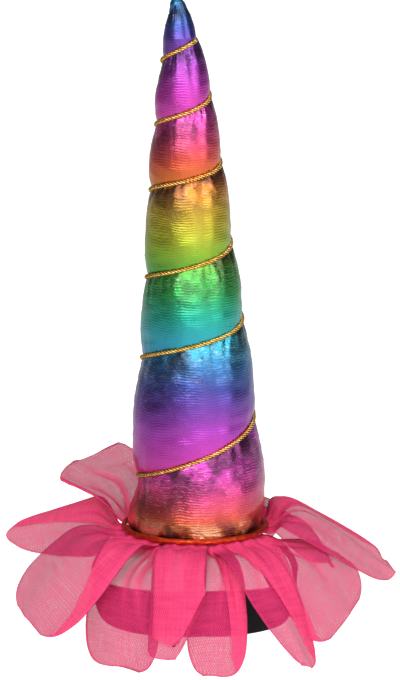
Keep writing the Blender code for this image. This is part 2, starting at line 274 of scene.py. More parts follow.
class Nodes:
    """A short way to add nodes to a tree and to link them."""

    def __init__(self, tree):
        self.tree = tree

    def add(self, kind, settings=None, **inputs):
        node = self.tree.nodes.new(kind)
        for key, value in (settings or {}).items():
            setattr(node, key, value)
        for key, value in inputs.items():
            name = key.replace("_", " ")
            socket = node.inputs[name] if name in node.inputs else node.inputs[int(key[2:])]
            self.feed(value, socket)
        return node

    def feed(self, value, socket):
        if isinstance(value, bpy.types.NodeSocket):
            self.tree.links.new(value, socket)
        else:
            socket.default_value = value

    def maths(self, operation, first, second=0.0, third=0.0):
        node = self.add("ShaderNodeMath", {"operation": operation}, in0=first, in1=second, in2=third)
        return node.outputs[0]

    def mix(self, share, first, second):
        node = self.add("ShaderNodeMix", {"data_type": "RGBA"})
        self.feed(share, node.inputs["Factor"])
        self.feed(first, node.inputs["A"])
        self.feed(second, node.inputs["B"])
        return next(out for out in node.outputs if out.enabled)

    def ramp(self, factor, stops):
        node = self.add("ShaderNodeValToRGB", Fac=factor)
        elements = node.color_ramp.elements
        while len(elements) < len(stops):
            elements.new(0.5)
        for element, (position, colour) in zip(elements, stops):
            element.position = position
            element.color = (*colour, 1.0)
        return node.outputs["Color"]

    def spread(self, value, low, high, new_low, new_high):
        node = self.add(
            "ShaderNodeMapRange",
            Value=value,
            From_Min=low,
            From_Max=high,
            To_Min=new_low,
            To_Max=new_high,
        )
        return node.outputs["Result"]

    def noise(self, place, scale, detail, roughness=0.5):
        node = self.add(
            "ShaderNodeTexNoise", Vector=place, Scale=scale, Detail=detail, Roughness=roughness
        )
        return node.outputs["Fac"]

    def object_place(self):
        return self.add("ShaderNodeTexCoord").outputs["Object"]

    def cloth_place(self):
        return self.add("ShaderNodeUVMap", {"uv_map": "cloth"}).outputs["UV"]

    def stored(self, name):
        """One of the numbers that store keeps for each vertex."""
        return self.add("ShaderNodeAttribute", {"attribute_name": name}).outputs["Fac"]

    def parts(self, vector):
        return self.add("ShaderNodeSeparateXYZ", Vector=vector).outputs


def new_group(name, inputs, outputs):
    """An empty shader node group. inputs has (name, kind, value) rows and outputs (name, kind)."""
    tree = bpy.data.node_groups.new(name, "ShaderNodeTree")
    for label, kind, value in inputs:
        socket = tree.interface.new_socket(label, in_out="INPUT", socket_type=kind)
        if value is not None:
            socket.default_value = value
    for label, kind in outputs:
        tree.interface.new_socket(label, in_out="OUTPUT", socket_type=kind)
    nodes = Nodes(tree)
    source = nodes.add("NodeGroupInput")
    sink = nodes.add("NodeGroupOutput")
    return nodes, source.outputs, sink.inputs


def new_material(name, **sockets):
    """A material whose Principled shader has these constant values."""
    made = bpy.data.materials.new(name)
    made.use_nodes = True
    nodes = Nodes(made.node_tree)
    shader = made.node_tree.nodes["Principled BSDF"]
    for key, value in sockets.items():
        shader.inputs[key.replace("_", " ")].default_value = value
    return made, nodes, shader


def place_group(nodes, tree, **values):
    node = nodes.tree.nodes.new("ShaderNodeGroup")
    node.node_tree = tree
    for key, value in values.items():
        nodes.feed(value, node.inputs[key.replace("_", " ")])
    return node.outputs


def make_foil_group():
    """Pressed foil over a knit: fine uneven courses and short dashes of crinkle."""
    nodes, given, result = new_group(
        "foil ribs",
        [
            ("Vector", "NodeSocketVector", None),
            ("Pitch", "NodeSocketFloat", 1.3 * MM),
            ("Dash Length", "NodeSocketFloat", 5.0 * MM),
            ("Crinkle", "NodeSocketFloat", 0.5),
        ],
        [("Height", "NodeSocketFloat"), ("Glint", "NodeSocketFloat")],
    )
    parts = nodes.parts(given["Vector"])
    wander = nodes.noise(given["Vector"], 90.0, 3.0)
    shift = nodes.spread(wander, 0.0, 1.0, -2.0 * MM, 2.0 * MM)
    level = nodes.maths("ADD", parts["Z"], shift)
    turns = nodes.maths("DIVIDE", level, given["Pitch"])
    rib = nodes.maths("SINE", nodes.maths("MULTIPLY", turns, 2.0 * math.pi))
    along = nodes.maths("DIVIDE", parts["X"], given["Dash Length"])
    deep = nodes.maths("DIVIDE", parts["Y"], given["Dash Length"])
    dash_place = nodes.add("ShaderNodeCombineXYZ", X=along, Y=deep, Z=turns).outputs[0]
    dashes = nodes.noise(dash_place, 1.0, 3.0, roughness=0.65)
    grain = nodes.noise(given["Vector"], 520.0, 1.0)
    crinkle = nodes.maths("MULTIPLY_ADD", grain, 0.3, dashes)
    rough = nodes.maths("MULTIPLY", crinkle, given["Crinkle"])
    even = nodes.maths("MULTIPLY", rib, nodes.maths("MULTIPLY", dashes, 0.14))
    nodes.feed(nodes.maths("ADD", even, rough), result["Height"])
    nodes.feed(nodes.spread(crinkle, 0.68, 0.86, 0.0, 1.0), result["Glint"])
    return nodes.tree


def make_weave_group():
    """An even plain weave in the piece's own cloth coordinates, in metres."""
    nodes, given, result = new_group(
        "plain weave",
        [
            ("Vector", "NodeSocketVector", None),
            ("Warp Pitch", "NodeSocketFloat", 0.5 * MM),
            ("Weft Pitch", "NodeSocketFloat", 0.5 * MM),
            ("Unevenness", "NodeSocketFloat", 0.4),
        ],
        [("Height", "NodeSocketFloat"), ("Slub", "NodeSocketFloat")],
    )
    parts = nodes.parts(given["Vector"])
    threads = []
    for axis, pitch in (("X", "Warp Pitch"), ("Y", "Weft Pitch")):
        turns = nodes.maths("DIVIDE", parts[axis], given[pitch])
        threads.append(nodes.maths("SINE", nodes.maths("MULTIPLY", turns, 2.0 * math.pi)))
    weave = nodes.maths("MULTIPLY", threads[0], threads[1])
    slubs = []
    for stretch in ((1400.0, 90.0, 1.0), (90.0, 1400.0, 1.0)):
        run = nodes.add(
            "ShaderNodeVectorMath", {"operation": "MULTIPLY"}, in0=given["Vector"], in1=stretch
        )
        slubs.append(nodes.noise(run.outputs[0], 1.0, 2.0))
    slub = nodes.maths("MULTIPLY", nodes.maths("ADD", *slubs), 0.5)
    uneven = nodes.maths("MULTIPLY", slub, given["Unevenness"])
    nodes.feed(nodes.maths("MULTIPLY_ADD", weave, 0.35, uneven), result["Height"])
    nodes.feed(slub, result["Slub"])
    return nodes.tree


FOIL_RIBS = make_foil_group()
PLAIN_WEAVE = make_weave_group()


def add_bump(nodes, shader, height, distance):
    bump = nodes.add("ShaderNodeBump", Height=height, Distance=distance, Strength=1.0)
    nodes.feed(bump.outputs["Normal"], shader.inputs["Normal"])


def make_lame():
    """Rainbow foil lame. The print runs up the horn and repeats. The foil lies smooth over each
    puff's lower half and crinkles towards the cord above it, where it is drawn in and carries
    near-black patches of painted shade and pale flecks of painted glints. Near the hem it takes
    a copper tone with painted shade and painted glints."""
    made, nodes, shader = new_material(
        "rainbow foil lame", Metallic=0.94, Coat_Weight=0.3, Coat_Roughness=0.18
    )
    place = nodes.object_place()
    height = nodes.parts(place)["Z"]
    patches = nodes.noise(place, 70.0, 3.0)
    strain = nodes.spread(nodes.stored("phase"), 0.40, 0.92, 0.0, 1.0)
    foot = nodes.spread(height, HORN_BOTTOM + 4.0 * MM, HORN_BOTTOM + 16.0 * MM, 1.0, 0.0)
    strain = nodes.maths("MAXIMUM", strain, foot)
    crinkle = nodes.spread(strain, 0.0, 1.0, 0.22, 1.35)
    ribs = place_group(
        nodes, FOIL_RIBS, Vector=place, Pitch=1.3 * MM, Dash_Length=3.2 * MM, Crinkle=crinkle
    )
    bleed = nodes.spread(nodes.noise(place, 30.0, 2.0), 0.0, 1.0, -5.0 * MM, 5.0 * MM)
    level = nodes.maths("ADD", height, bleed)
    printed = nodes.maths("SUBTRACT", level, HORN_BOTTOM + RAINBOW_START)
    turns = nodes.maths("DIVIDE", printed, RAINBOW_REPEAT)
    stops = [*RAINBOW, (1.0, RAINBOW[0][1])]
    colour = nodes.ramp(nodes.maths("FRACT", turns), stops)
    # Near the hem: a copper tone whose dark patches are painted shade and whose bright patches are
    # painted glints.
    copper = nodes.spread(height, HORN_BOTTOM + 3.0 * MM, HORN_BOTTOM + 11.0 * MM, 0.9, 0.0)
    copper_shade_and_glints = [(0.40, (0.04, 0.015, 0.008)), (0.50, (0.55, 0.22, 0.07)), (0.60, (1.0, 0.70, 0.38))]
    colour = nodes.mix(copper, colour, nodes.ramp(patches, copper_shade_and_glints))
    # Painted glints: near-white flecks are mixed into the colour where the foil crinkles, standing
    # in for highlights.
    painted_glint = nodes.maths("MULTIPLY", ribs["Glint"], nodes.spread(strain, 0.0, 1.0, 0.0, 0.20))
    colour = nodes.mix(painted_glint, colour, (1.0, 0.93, 0.86, 1.0))
    # Painted shade: near-black patches are mixed into the colour where the foil is drawn in under
    # each cord.
    drawn = nodes.maths("MULTIPLY", strain, nodes.spread(patches, 0.45, 0.57, 0.75, 0.0))
    colour = nodes.mix(drawn, colour, (0.03, 0.012, 0.02, 1.0))
    nodes.feed(colour, shader.inputs["Base Color"])
    nodes.feed(nodes.spread(strain, 0.0, 1.0, 0.27, 0.20), shader.inputs["Roughness"])
    add_bump(nodes, shader, ribs["Height"], 0.26 * MM)
    return made


def make_hem_foil():
    """The rolled hem's foil, deep red with orange glints."""
    made, nodes, shader = new_material("hem foil", Metallic=0.85, Roughness=0.35)
    place = nodes.object_place()
    ribs = place_group(
        nodes, FOIL_RIBS, Vector=place, Pitch=0.9 * MM, Dash_Length=3.0 * MM, Crinkle=1.0
    )
    colour = nodes.mix(ribs["Glint"], (0.52, 0.03, 0.010, 1.0), (0.80, 0.16, 0.02, 1.0))
    nodes.feed(colour, shader.inputs["Base Color"])
    add_bump(nodes, shader, ribs["Height"], 0.3 * MM)
    return made


def make_gold_thread():
    """Fine metallic thread wound round the strands of the cord, with dark red painted shade in the
    valleys between them.
    """
    made, nodes, shader = new_material("gold thread", Metallic=0.92, Roughness=0.24)
    flecks = nodes.noise(nodes.object_place(), 900.0, 2.0)
    gold = nodes.ramp(
        flecks, [(0.30, (0.42, 0.17, 0.02)), (0.5, (0.86, 0.46, 0.07)), (0.68, (1.0, 0.82, 0.36))]
    )
    # Painted shade: the valleys between the strands are darkened towards dark red.
    between = nodes.spread(nodes.stored("crown"), 0.10, 0.55, 1.0, 0.0)
    nodes.feed(nodes.mix(between, gold, (0.12, 0.03, 0.006, 1.0)), shader.inputs["Base Color"])
    add_bump(nodes, shader, flecks, 0.12 * MM)
    return made


def make_chiffon():
    """Sheer hot pink chiffon: what lies behind shows through. It is denser where it is drawn
    together and along its cut edge. Where it lies double or is drawn together its pink is brighter,
    partly from its density and partly as painted light; the single layer's darker pink is painted
    shade."""
    made, nodes, shader = new_material("pink chiffon", Roughness=0.7, Specular_IOR_Level=0.12)
    made.surface_render_method = "BLENDED"
    weave = place_group(
        nodes,
        PLAIN_WEAVE,
        Vector=nodes.cloth_place(),
        Warp_Pitch=1.1 * MM,
        Weft_Pitch=1.3 * MM,
        Unevenness=1.1,
    )
    # Lit and shaded copies of one pink: the single ramp's darker pink is painted shade, and the
    # doubled ramp is partly denser cloth and partly painted light. The brighter copy also goes on
    # the gathered roots.
    single = nodes.ramp(weave["Slub"], [(0.3, (0.57, 0.020, 0.118)), (0.7, (0.67, 0.040, 0.158))])
    doubled = nodes.ramp(weave["Slub"], [(0.3, (0.86, 0.044, 0.17)), (0.7, (0.95, 0.080, 0.235))])
    drawn = nodes.stored("drawn")
    dense_and_lit = nodes.maths("MAXIMUM", nodes.stored("flap"), drawn)
    nodes.feed(nodes.mix(dense_and_lit, single, doubled), shader.inputs["Base Color"])
    cover = nodes.spread(weave["Height"], 0.15, 0.95, 0.47, 0.80)
    rim = nodes.spread(nodes.stored("edge"), 0.5 * MM, 1.2 * MM, 0.12, 0.0)
    denser = nodes.maths("MULTIPLY_ADD", drawn, 0.28, rim)
    nodes.feed(nodes.maths("ADD", cover, denser), shader.inputs["Alpha"])
    add_bump(nodes, shader, weave["Height"], 0.10 * MM)
    return made


def make_elastic():
    """Black braided elastic: cords along it and a fine braid across."""
    made, nodes, shader = new_material("black elastic", Roughness=0.75, Specular_IOR_Level=0.12)
    cloth = nodes.cloth_place()
    pitch = 2.1 * MM
    weave = place_group(
        nodes, PLAIN_WEAVE, Vector=cloth, Warp_Pitch=0.9 * MM, Weft_Pitch=pitch, Unevenness=0.3
    )
    across = nodes.parts(cloth)["Y"]
    cords = nodes.maths("SINE", nodes.maths("MULTIPLY", across, 2.0 * math.pi / pitch))
    height = nodes.maths("MULTIPLY_ADD", nodes.maths("ABSOLUTE", cords), 0.9, weave["Height"])
    colour = nodes.ramp(weave["Slub"], [(0.3, (0.002, 0.002, 0.003)), (0.7, (0.007, 0.006, 0.007))])
    nodes.feed(colour, shader.inputs["Base Color"])
    add_bump(nodes, shader, height, 0.25 * MM)
    return made


def make_felt():
    """Black craft felt with a matted nap."""
    made, nodes, shader = new_material(
        "black felt", Roughness=0.95, Sheen_Weight=0.35, Sheen_Roughness=0.6, Specular_IOR_Level=0.2
    )
    place = nodes.object_place()
    nap = nodes.noise(place, 1400.0, 4.0)
    mats = nodes.noise(place, 180.0, 2.0)
    colour = nodes.ramp(mats, [(0.3, (0.008, 0.008, 0.009)), (0.7, (0.022, 0.021, 0.023))])
    nodes.feed(colour, shader.inputs["Base Color"])
    add_bump(nodes, shader, nodes.maths("ADD", nap, mats), 0.3 * MM)
    return made


# The horn

SKIN_COLUMNS = 168
SKIN_ROWS_PER_TURN = 34
COARSE_GATHERS = 11.0
FINE_GATHERS = 25.0
GATHERS_ABOVE_CORD = 0.35
GATHERS_BELOW_CORD = 1.0
END_EASE = 6.0 * MM


def cord_height(turn):
    heights = [height for pair in CORD_HEIGHTS for height in pair]
    return smooth_read(heights, 2.0 * turn) * HORN_HEIGHT


def horn_axis(height):
    lean = table_read(HORN_PROFILE, max(height, 0.0) / HORN_HEIGHT, 2) * HORN_LEAN
    return Vector((-lean, 0.0, HORN_BOTTOM + height))


def full_radius(height):
    """The horn's profile, eased over a few millimetres so that no kink shows."""
    reach = 0.02
    share = height / HORN_HEIGHT
    near = [table_read(HORN_PROFILE, min(max(share + k * reach, 0.0), 1.0), 1) for k in (-1, 0, 1)]
    mean = (near[0] + 2.0 * near[1] + near[2]) / 4.0
    ends = smooth_step(0.0, reach, share) * smooth_step(0.0, reach, 1.0 - share)
    return (near[1] + (mean - near[1]) * ends) * HORN_BASE_RADIUS


def horn_radius(height, phase):
    full = full_radius(height)
    puff = math.sin(math.pi * phase) ** 0.5
    depth = min(GROOVE_DEPTH, 0.2 * full)
    return full - depth * (1.0 - puff)


def horn_point(turn, radius, height):
    azimuth = 2.0 * math.pi * turn - math.pi / 2
    return horn_axis(height) + on_circle(azimuth, radius, 0.0)


def pucker(turn, around, phase, height, radius):
    """How far the stuffed skin stands off its even form: small gathers that run out of the cord's
    groove, and the soft lumps of the stuffing."""
    place = horn_point(around, radius, height)
    gathers = 0.0
    for side, near, depth in (
        (1.0, phase, GATHERS_ABOVE_CORD),
        (-1.0, 1.0 - phase, GATHERS_BELOW_CORD),
    ):
        fade = depth * math.exp(-near * 6.0) * smooth_step(0.0, 0.06, near)
        wander = noise.noise(Vector((turn * 3.0 + around * 5.0, side * 4.0, near * 2.0)))
        coarse = math.sin((turn + around) * 2.0 * math.pi * COARSE_GATHERS + 5.0 * wander)
        fine = math.sin((turn + around) * 2.0 * math.pi * FINE_GATHERS + 9.0 * wander)
        gathers += fade * (coarse + 0.7 * fine)
    lumps = noise.noise(place * 55.0)
    creases = abs(noise.noise(Vector((place.x * 60.0, place.y * 60.0, place.z * 160.0))))
    share = min(radius / HORN_BASE_RADIUS, 1.0)
    return MM * (0.45 * gathers + 0.65 * lumps - 0.7 * creases + 0.15) * (0.35 + 0.65 * share)


def skin_point(turn, around, phase):
    """A point of the skin, between the cord's turns in the middle and on a plain rim at the ends."""
    height = min(max(cord_height(turn + phase + around), 0.0), HORN_HEIGHT)
    radius = horn_radius(height, phase)
    ends = smooth_step(0.0, END_EASE, height) * smooth_step(0.0, END_EASE, HORN_HEIGHT - height)
    radius = horn_radius(height, 0.5) * (1.0 - ends) + radius * ends
    radius += ends * pucker(turn, around, phase, height, radius)
    return horn_point(around, radius, height)


def build_horn_skin(material):
    """The stuffed skin, its rows following the cord and closed at both ends."""
    steps = range(SKIN_ROWS_PER_TURN)
    ease = [0.5 - 0.5 * math.cos(math.pi * k / SKIN_ROWS_PER_TURN) for k in steps]
    phases = [0.45 * k / SKIN_ROWS_PER_TURN + 0.55 * eased for k, eased in enumerate(ease)]
    vertices = []
    kept = []
    for turn in range(-3, len(CORD_HEIGHTS) + 3):
        for phase in phases:
            for column in range(SKIN_COLUMNS):
                around = column / SKIN_COLUMNS
                vertices.append(skin_point(turn, around, phase))
                kept.append(phase)
    rows = len(kept) // SKIN_COLUMNS
    faces = []
    for row in range(rows - 1 - SKIN_ROWS_PER_TURN):
        for column in range(SKIN_COLUMNS):
            wraps = column + 1 == SKIN_COLUMNS
            near = row * SKIN_COLUMNS + column
            far = (row + SKIN_ROWS_PER_TURN) * SKIN_COLUMNS if wraps else near + 1
            faces.append((near, far, far + SKIN_COLUMNS, near + SKIN_COLUMNS))
    piece = mesh_piece("horn_skin", vertices, faces, material)
    store(piece, "phase", kept)
    close_horn_ends(piece.data)
    return piece


def close_horn_ends(data):
    """Merges the rows that the spiral takes past either end and fills the two rims."""
    builder = bmesh.new()
    builder.from_mesh(data)
    for level in (HORN_BOTTOM, HORN_BOTTOM + HORN_HEIGHT):
        at_end = [v for v in builder.verts if abs(v.co.z - level) < 1e-7]
        bmesh.ops.remove_doubles(builder, verts=at_end, dist=1e-5)
    bmesh.ops.dissolve_degenerate(builder, dist=1e-7, edges=builder.edges)
    loose = [v for v in builder.verts if not v.link_faces]
    bmesh.ops.delete(builder, geom=loose, context="VERTS")
    for level in (HORN_BOTTOM, HORN_BOTTOM + HORN_HEIGHT):
        rim = [e for e in builder.edges if e.is_boundary and abs(e.verts[0].co.z - level) < 1e-6]
        bmesh.ops.holes_fill(builder, edges=rim, sides=0)
    bmesh.ops.recalc_face_normals(builder, faces=builder.faces)
    builder.to_mesh(data)
    builder.free()
    data.shade_smooth()


def build_hem(material):
    """A rolled hem with the uneven turns of a hand-rolled edge."""
    steps = 260
    sides = 14
    vertices = []
    for step in range(steps):
        azimuth = 2.0 * math.pi * step / steps
        out = on_circle(azimuth, 1.0, 0.0)
        wobble = noise.noise(Vector((math.sin(azimuth) * 3.0, math.cos(azimuth) * 3.0, 0.5)))
        fine = noise.noise(Vector((math.sin(azimuth) * 14.0, math.cos(azimuth) * 14.0, 2.5)))
        size = HEM_RADIUS * (0.93 + 0.10 * wobble + 0.10 * fine)
        for side in range(sides):
            angle = 2.0 * math.pi * side / sides
            ridge = 1.0 + 0.06 * math.sin(3.0 * angle + 14.0 * azimuth)
            radius = HEM_CENTRE_RADIUS + math.cos(angle) * size * ridge
            height = HORN_BOTTOM + HEM_RADIUS + math.sin(angle) * size * ridge
            vertices.append(out * radius + UP * height)
    faces = []
    for step in range(steps):
        for side in range(sides):
            near = step * sides
            far = (step + 1) % steps * sides
            following = (side + 1) % sides
            faces.append((near + side, far + side, far + following, near + following))
    return mesh_piece("hem_foil_roll", vertices, faces, material)


# The gold cord


def cord_path():
    """The points that the cord follows in the horn's groove, and its free ends."""
    steps_per_turn = 48
    first = math.ceil(CORD_START_TURN * steps_per_turn)
    last = math.floor(CORD_END_TURN * steps_per_turn)
    points = []
    for index in range(first, last + 1):
        turn = index / steps_per_turn
        height = cord_height(turn)
        radius = horn_radius(height, 0.0) + CORD_RADIUS + 0.5 * SEAT_GAP
        points.append(horn_point(turn, radius, height))
    return points


def make_twist_tree(material):
    """Geometry Nodes: sweeps a lobed section along a curve and turns it evenly on the way."""
    tree = bpy.data.node_groups.new("twisted cord", "GeometryNodeTree")
    tree.interface.new_socket("Path", in_out="INPUT", socket_type="NodeSocketGeometry")
    for name, value in (
        ("Cord Radius", CORD_RADIUS),
        ("Twist Pitch", 5.6 * MM),
        ("Ring Spacing", 0.42 * MM),
        ("Strands", 3.0),
        ("Valley Depth", 0.42),
    ):
        socket = tree.interface.new_socket(name, in_out="INPUT", socket_type="NodeSocketFloat")
        socket.default_value = value
    tree.interface.new_socket("Cord", in_out="OUTPUT", socket_type="NodeSocketGeometry")
    nodes = Nodes(tree)
    maths = nodes.maths
    given = nodes.add("NodeGroupInput").outputs
    result = nodes.add("NodeGroupOutput").inputs

    even = nodes.add("GeometryNodeResampleCurve", {"mode": "LENGTH"}, Curve=given["Path"])
    nodes.feed(given["Ring Spacing"], even.inputs["Length"])
    travelled = nodes.add("GeometryNodeSplineParameter").outputs["Length"]
    turned = maths("MULTIPLY", maths("DIVIDE", travelled, given["Twist Pitch"]), 2.0 * math.pi)
    tilted = nodes.add("GeometryNodeSetCurveTilt", Curve=even.outputs["Curve"], Tilt=turned)

    ring = nodes.add("GeometryNodeCurvePrimitiveCircle", Resolution=18, Radius=1.0)
    where = nodes.add("GeometryNodeInputPosition").outputs[0]
    parts = nodes.parts(where)
    angle = maths("ARCTAN2", parts["Y"], parts["X"])
    lobes = maths("MULTIPLY", angle, maths("MULTIPLY", given["Strands"], 0.5))
    wave = maths("ABSOLUTE", maths("COSINE", lobes))
    depth = maths("MULTIPLY", given["Valley Depth"], maths("SUBTRACT", 1.0, wave))
    reach = maths("MULTIPLY", maths("SUBTRACT", 1.0, depth), given["Cord Radius"])
    marked = nodes.add(
        "GeometryNodeStoreNamedAttribute",
        {"data_type": "FLOAT", "domain": "POINT"},
        Geometry=ring.outputs["Curve"],
        Name="crown",
        Value=wave,
    )
    placed = nodes.add("ShaderNodeVectorMath", {"operation": "SCALE"}, in0=where, Scale=reach)
    section = nodes.add(
        "GeometryNodeSetPosition", Geometry=marked.outputs["Geometry"], Position=placed.outputs[0]
    )
    swept = nodes.add("GeometryNodeCurveToMesh", Curve=tilted.outputs["Curve"])
    nodes.feed(section.outputs["Geometry"], swept.inputs["Profile Curve"])
    swept.inputs["Fill Caps"].default_value = True
    smooth = nodes.add("GeometryNodeSetShadeSmooth", Geometry=swept.outputs["Mesh"])
    plain = nodes.add("GeometryNodeRealizeInstances", Geometry=smooth.outputs["Geometry"])
    finished = nodes.add(
        "GeometryNodeSetMaterial", Geometry=plain.outputs["Geometry"], Material=material
    )
    nodes.feed(finished.outputs["Geometry"], result["Cord"])
    return tree


def run_tree(name, source, tree, material):
    """Runs a Geometry Nodes tree on an object and keeps the result as a plain mesh."""
    modifier = source.modifiers.new("build", "NODES")
    modifier.node_group = tree
    bpy.context.view_layer.update()
    graph = bpy.context.evaluated_depsgraph_get()
    data = bpy.data.meshes.new_from_object(source.evaluated_get(graph))
    data.name = name
    data.materials.clear()
    data.materials.append(material)
    bpy.data.objects.remove(source, do_unlink=True)
    return put_in_scene(name, data)


def curve_from(name, points):
    data = bpy.data.curves.new(name, "CURVE")
    data.dimensions = "3D"
    spline = data.splines.new("POLY")
    spline.points.add(len(points) - 1)
    for target, point in zip(spline.points, points):
        target.co = (*point, 1.0)
    return put_in_scene(name, data)


def build_cord(material):
    path = curve_from("cord_path", cord_path())
    return run_tree("gold_twist_cord", path, make_twist_tree(material), material)


# The elastic and its pad


def band_centre(place):
    along = abs(place) * (len(BAND_COURSE) - 1)
    side, front, fall, turn = (smooth_read(column, along) for column in zip(*BAND_COURSE))
    side = math.copysign(side * BAND_HALF_SPAN, place)
    height = BAND_THICKNESS / 2 - max(fall, 0.0) * BAND_DROP
    return Vector((side, -front * BAND_REACH, height)), math.radians(turn)


def band_sides(place, step=1.0 / 72):
    centre, turn = band_centre(place)
    ahead = band_centre(min(place + step, 1.0))[0] - band_centre(max(place - step, -1.0))[0]
    if 1.0 - abs(place) < step:
        ahead = Vector((-1.0, 0.0, 0.0))
    ahead.normalize()
    across = FRONT * math.cos(turn) + UP * math.sin(turn)
    across -= ahead * across.dot(ahead)
    half = across.normalized() * BAND_WIDTH / 2
    return centre + half, centre - half


def build_elastic(material):
    """The elastic loop, a little slack along its edges."""
    steps = 288
    across_steps = 14
    slack_depth = 0.25 * MM
    slack_waves = 9.0
    vertices = []
    uvs = []
    walked = 0.0
    previous = None
    for index in range(steps + 1):
        place = 2.0 * index / steps - 1.0
        upper, lower = band_sides(place)
        middle = (upper + lower) / 2
        walked += (middle - previous).length if previous else 0.0
        previous = middle
        for row in range(across_steps + 1):
            share = row / across_steps
            edge = abs(2.0 * share - 1.0) ** 3
            wave = math.sin(2.0 * math.pi * slack_waves * index / steps + 3.0 * share)
            slack = slack_depth * edge * wave
            vertices.append(upper.lerp(lower, share) + Vector((0.0, -0.4, 0.6)) * slack)
            uvs.append((walked, share * BAND_WIDTH))
    faces = grid_faces(steps + 1, across_steps + 1)
    piece = mesh_piece("elastic_band", vertices, faces, material, uvs)
    builder = bmesh.new()
    builder.from_mesh(piece.data)
    ends = [v for v in builder.verts if (v.co - previous).length < BAND_WIDTH]
    bmesh.ops.remove_doubles(builder, verts=ends, dist=0.05 * MM)
    bmesh.ops.recalc_face_normals(builder, faces=builder.faces)
    builder.to_mesh(piece.data)
    builder.free()
    add_wall(piece, BAND_THICKNESS * 0.9)
    return piece


def add_wall(piece, thickness):
    wall = piece.modifiers.new("wall", "SOLIDIFY")
    wall.thickness = thickness
    wall.offset = 0.0


# The petals

# Rows of the cloth from root to tip, columns of its single part and of its folded side
ALONG_STEPS = 60
MAIN_STEPS = 34
FOLD_STEPS = 18


def band_under(azimuth):
    """The radius and height of the elastic's upper edge in this direction, or of the pad's rim."""
    found = (PAD_RADIUS, PAD_TOP)
    least = math.radians(12)
    for index in range(36, 73):
        edge = band_sides(index / 72)[0]
        apart = abs(abs(azimuth) - math.atan2(edge.x, -edge.y))
        if apart < least:
            least = apart
            found = (math.hypot(edge.x, edge.y), edge.z)
    return found


def petal_half_width(along, root, row_width, point):
    """Half the petal's width, from its gathered root to its round, pointed or square end."""
    full = row_width * PETAL_WIDTH / 2
    width = root + (full - root) * smooth_step(0.3, 0.7, along)
    closing = 0.78 - 0.3 * point
    if along > closing:
        past = (along - closing) / (1.0 - closing)
        width *= (1.0 - past ** (2.2 - point)) ** (0.5 + 0.35 * point)
    return width


class Petal:
    """One petal's middle surface, read at any place along and across it."""

    def __init__(self, row):
        node, azimuth, gather, hump, drop, out, width, arch, roll, rolled_by, sway, point = row
        self.node = node
        self.azimuth = math.radians(azimuth)
        self.gather = math.radians(gather)
        self.width = width
        self.arch = arch
        self.roll = math.radians(roll)
        self.rolled_by = rolled_by
        self.sway = math.radians(sway)
        self.point = point
        upper = node.startswith("petal_upper")
        self.root = ROOT_HEIGHTS["upper" if upper else "lower"]
        lift = PETAL_THICKNESS * 2.5 if upper else 0.0
        under_radius, under_height = band_under(self.azimuth)
        shoulder = max(self.root + hump * PETAL_DROP, under_height + BAND_CLEARANCE + lift)
        self.radii = (
            PETAL_ROOT_RADIUS,
            HEM_OUTER_RADIUS,
            max(under_radius + BAND_CLEARANCE, HEM_OUTER_RADIUS + 0.3 * PETAL_REACH),
            HEM_OUTER_RADIUS + out * PETAL_REACH,
        )
        self.heights = (self.root, self.root, shoulder, self.root - drop * PETAL_DROP)

    def half_width(self, along):
        root = self.gather * min(smooth_read(self.radii, 3.0 * along), HEM_OUTER_RADIUS)
        return petal_half_width(along, root, self.width, self.point)

    def read(self, along, across):
        radius = smooth_read(self.radii, 3.0 * along)
        height = smooth_read(self.heights, 3.0 * along) if along > 1 / 3 else self.root
        half = self.half_width(along)
        free = smooth_step(0.45, 1.0, along)
        rolled = math.tan(self.roll * smooth_step(0.42, self.rolled_by, along))
        turned = self.azimuth + self.sway * free**2 + across * half / radius
        fall = half * (free * self.arch * across**2 + rolled * across)
        return on_circle(turned, radius, height - fall)

    def normal(self, along, across):
        """The surface's upper side at this place."""
        reach = 0.02
        middle = min(max(along, reach), 0.93)
        ahead = self.read(middle + reach, across) - self.read(middle - reach, across)
        aside = self.read(middle, across + reach) - self.read(middle, across - reach)
        return ahead.cross(aside).normalized()


def crease_strength(along, across, seed):
    """From 0 to 1, how tightly the cloth is drawn together: at its root and along three creases
    that wander outwards from it."""
    drawn = 1.0 - smooth_step(0.34, 0.52, along)
    for index, start in enumerate((-0.45, 0.1, 0.6)):
        drift = noise.noise(Vector((along * 2.6, index * 3.1, seed)))
        centre = start * (0.7 + 0.5 * along) + 0.5 * drift
        reach = 0.45 + 0.5 * abs(noise.noise(Vector((index * 1.7, seed, 4.0))))
        fade = 1.0 - smooth_step(0.35 + 0.3 * reach, 0.55 + 0.6 * reach, along)
        drawn += 0.8 * fade * math.exp(-(((across - centre) / 0.085) ** 2))
    return min(drawn, 1.0)


def cut_size(petal):
    """The width, length and area that a petal is cut to, with its fold opened and its pleats out."""
    folds = PETAL_FOLDS[petal.node][1:4]
    steps = 60
    previous = petal.read(0.0, 0.0)
    width = 0.0
    length = 0.0
    area = 0.0
    for step in range(1, steps + 1):
        along = step / steps
        here = petal.read(along, 0.0)
        opened = petal.half_width(along) * (2.0 + smooth_read(folds, 2.0 * along)) * PLEAT_FULLNESS
        width = max(width, opened)
        length += (here - previous).length
        area += (here - previous).length * opened
        previous = here
    return width, length, area


def row_place(step):
    """Where a row of the cloth lies along the petal. The rows draw together towards the tip."""
    eased = math.sin(math.pi / 2 * step / ALONG_STEPS) ** 0.9
    return min(0.35 * step / ALONG_STEPS + 0.65 * eased, 0.9995)


